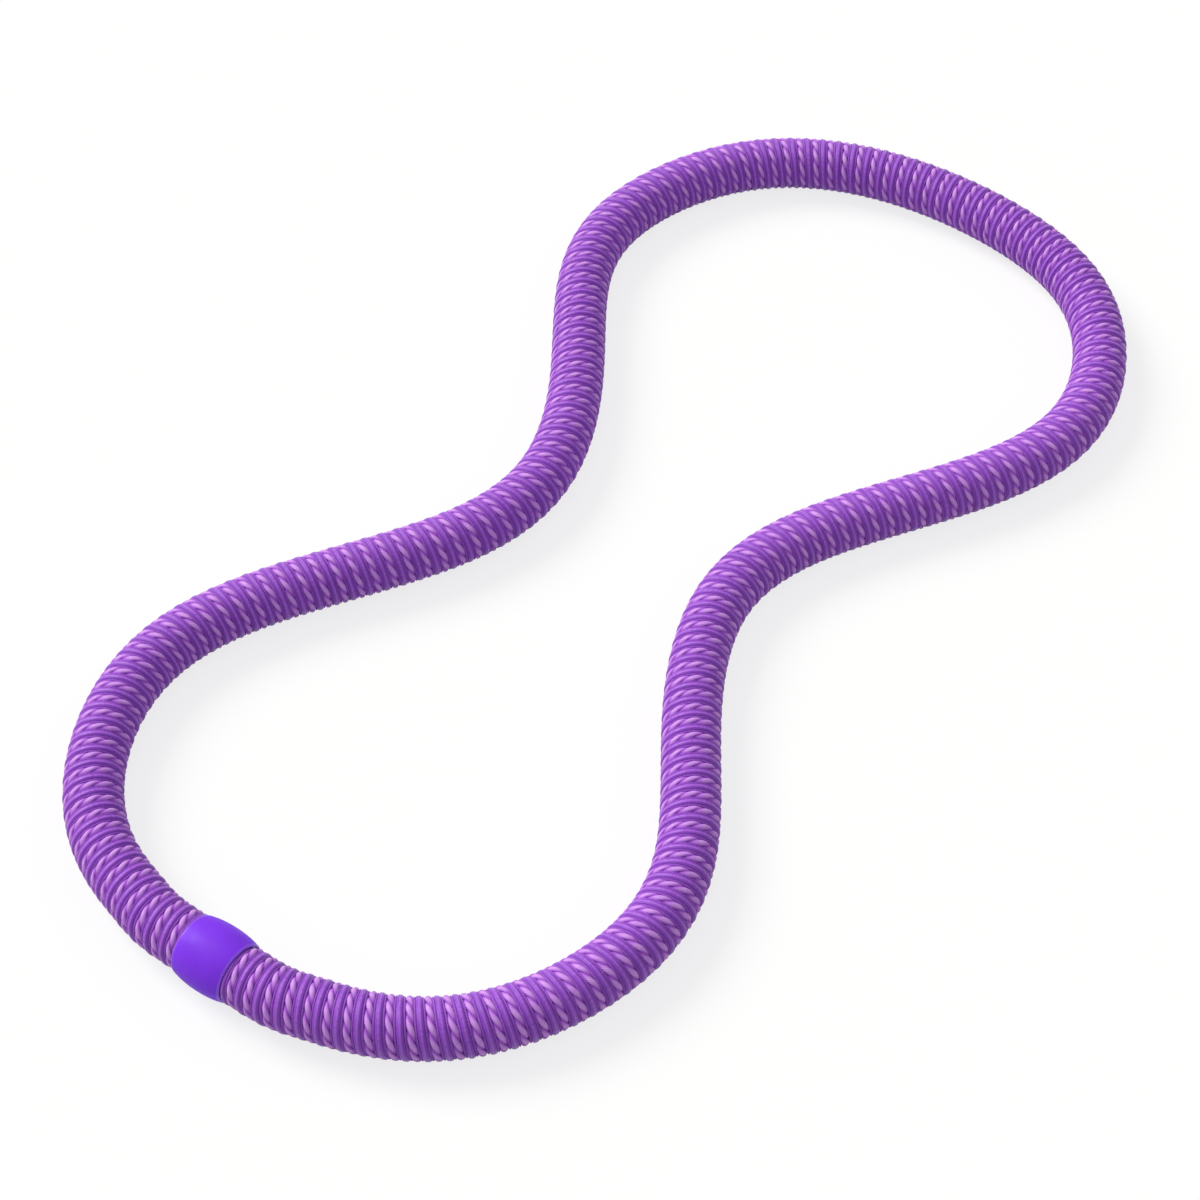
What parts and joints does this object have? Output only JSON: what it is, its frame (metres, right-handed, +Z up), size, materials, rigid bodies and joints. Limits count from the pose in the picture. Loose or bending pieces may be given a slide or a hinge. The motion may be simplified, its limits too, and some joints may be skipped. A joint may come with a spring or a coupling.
{
  "type": "exercise hoop",
  "caption": "Flexible exercise hoop wound all round with smooth and twisted cord over foam and a spring core, lying squeezed at the waist, with a moulded connector collar.",
  "frame": {"origin": "middle of the loop, on the floor", "axes": "+Z up, +Y along the loop from the collar's lobe to the far lobe, +X towards the right-hand strand"},
  "size_m": [0.4408, 0.9274, 0.0456],
  "materials": {
    "cord_violet": "glossy braided cord",
    "foam_violet": "closed-cell foam",
    "spring_steel": "drawn wire",
    "collar_violet": "glossy moulded",
    "plug_nylon": "moulded",
    "band_steel": "rolled strip"
  },
  "bodies": {
    "near_lobe_right": {"cover_near_lobe_right": "cord_violet", "foam_near_lobe_right": "foam_violet", "spring_near_lobe_right": "spring_steel", "connector_collar": "collar_violet", "joining_plug": "plug_nylon", "binding_band_right": "band_steel"},
    "right_run_near": {"cover_right_run_near": "cord_violet", "foam_right_run_near": "foam_violet", "spring_right_run_near": "spring_steel", "cover_bend_near_right_shoulder": "cord_violet", "foam_bend_near_right_shoulder": "foam_violet", "spring_bend_near_right_shoulder": "spring_steel"},
    "right_run_far": {"cover_right_run_far": "cord_violet", "foam_right_run_far": "foam_violet", "spring_right_run_far": "spring_steel", "cover_bend_right_waist": "cord_violet", "foam_bend_right_waist": "foam_violet", "spring_bend_right_waist": "spring_steel"},
    "far_lobe": {"cover_far_lobe": "cord_violet", "foam_far_lobe": "foam_violet", "spring_far_lobe": "spring_steel", "cover_bend_far_right_shoulder": "cord_violet", "foam_bend_far_right_shoulder": "foam_violet", "spring_bend_far_right_shoulder": "spring_steel", "cover_bend_far_left_shoulder": "cord_violet", "foam_bend_far_left_shoulder": "foam_violet", "spring_bend_far_left_shoulder": "spring_steel"},
    "left_run_far": {"cover_left_run_far": "cord_violet", "foam_left_run_far": "foam_violet", "spring_left_run_far": "spring_steel", "cover_bend_left_waist": "cord_violet", "foam_bend_left_waist": "foam_violet", "spring_bend_left_waist": "spring_steel"},
    "left_run_near": {"cover_left_run_near": "cord_violet", "foam_left_run_near": "foam_violet", "spring_left_run_near": "spring_steel", "cover_bend_near_left_shoulder": "cord_violet", "foam_bend_near_left_shoulder": "foam_violet", "spring_bend_near_left_shoulder": "spring_steel"},
    "near_lobe_left": {"cover_near_lobe_left": "cord_violet", "foam_near_lobe_left": "foam_violet", "spring_near_lobe_left": "spring_steel", "binding_band_left": "band_steel"}
  },
  "joints": [
    {"name": "far_right_shoulder", "type": "hinge", "parent": "far_lobe", "child": "right_run_far", "pos_m": [0.19079, 0.32474, 0.0195], "axis": [0, 0, 1], "range_deg": [-9, 35], "deforming": ["cover_bend_far_right_shoulder", "foam_bend_far_right_shoulder", "spring_bend_far_right_shoulder"]},
    {"name": "right_waist", "type": "hinge", "parent": "right_run_far", "child": "right_run_near", "pos_m": [0.08423, 0.0069, 0.0195], "axis": [0, 0, -1], "range_deg": [-18, 70], "deforming": ["cover_bend_right_waist", "foam_bend_right_waist", "spring_bend_right_waist"]},
    {"name": "near_right_shoulder", "type": "hinge", "parent": "right_run_near", "child": "near_lobe_right", "pos_m": [0.19857, -0.29188, 0.0195], "axis": [0, 0, 1], "range_deg": [-9, 35], "deforming": ["cover_bend_near_right_shoulder", "foam_bend_near_right_shoulder", "spring_bend_near_right_shoulder"]},
    {"name": "far_left_shoulder", "type": "hinge", "parent": "far_lobe", "child": "left_run_far", "pos_m": [-0.19857, 0.29188, 0.0195], "axis": [0, 0, -1], "range_deg": [-9, 35], "deforming": ["cover_bend_far_left_shoulder", "foam_bend_far_left_shoulder", "spring_bend_far_left_shoulder"]},
    {"name": "left_waist", "type": "hinge", "parent": "left_run_far", "child": "left_run_near", "pos_m": [-0.08423, -0.0069, 0.0195], "axis": [0, 0, 1], "range_deg": [-18, 70], "deforming": ["cover_bend_left_waist", "foam_bend_left_waist", "spring_bend_left_waist"]},
    {"name": "near_left_shoulder", "type": "hinge", "parent": "left_run_near", "child": "near_lobe_left", "pos_m": [-0.19079, -0.32474, 0.0195], "axis": [0, 0, -1], "range_deg": [-9, 35], "deforming": ["cover_bend_near_left_shoulder", "foam_bend_near_left_shoulder", "spring_bend_near_left_shoulder"]}
  ],
  "couplings": [
    {"joint": "far_right_shoulder", "follows": "right_waist", "ratio": 0.5},
    {"joint": "near_right_shoulder", "follows": "right_waist", "ratio": 0.5},
    {"joint": "far_left_shoulder", "follows": "right_waist", "ratio": 0.5},
    {"joint": "left_waist", "follows": "right_waist", "ratio": 1},
    {"joint": "near_left_shoulder", "follows": "right_waist", "ratio": 0.5}
  ]
}
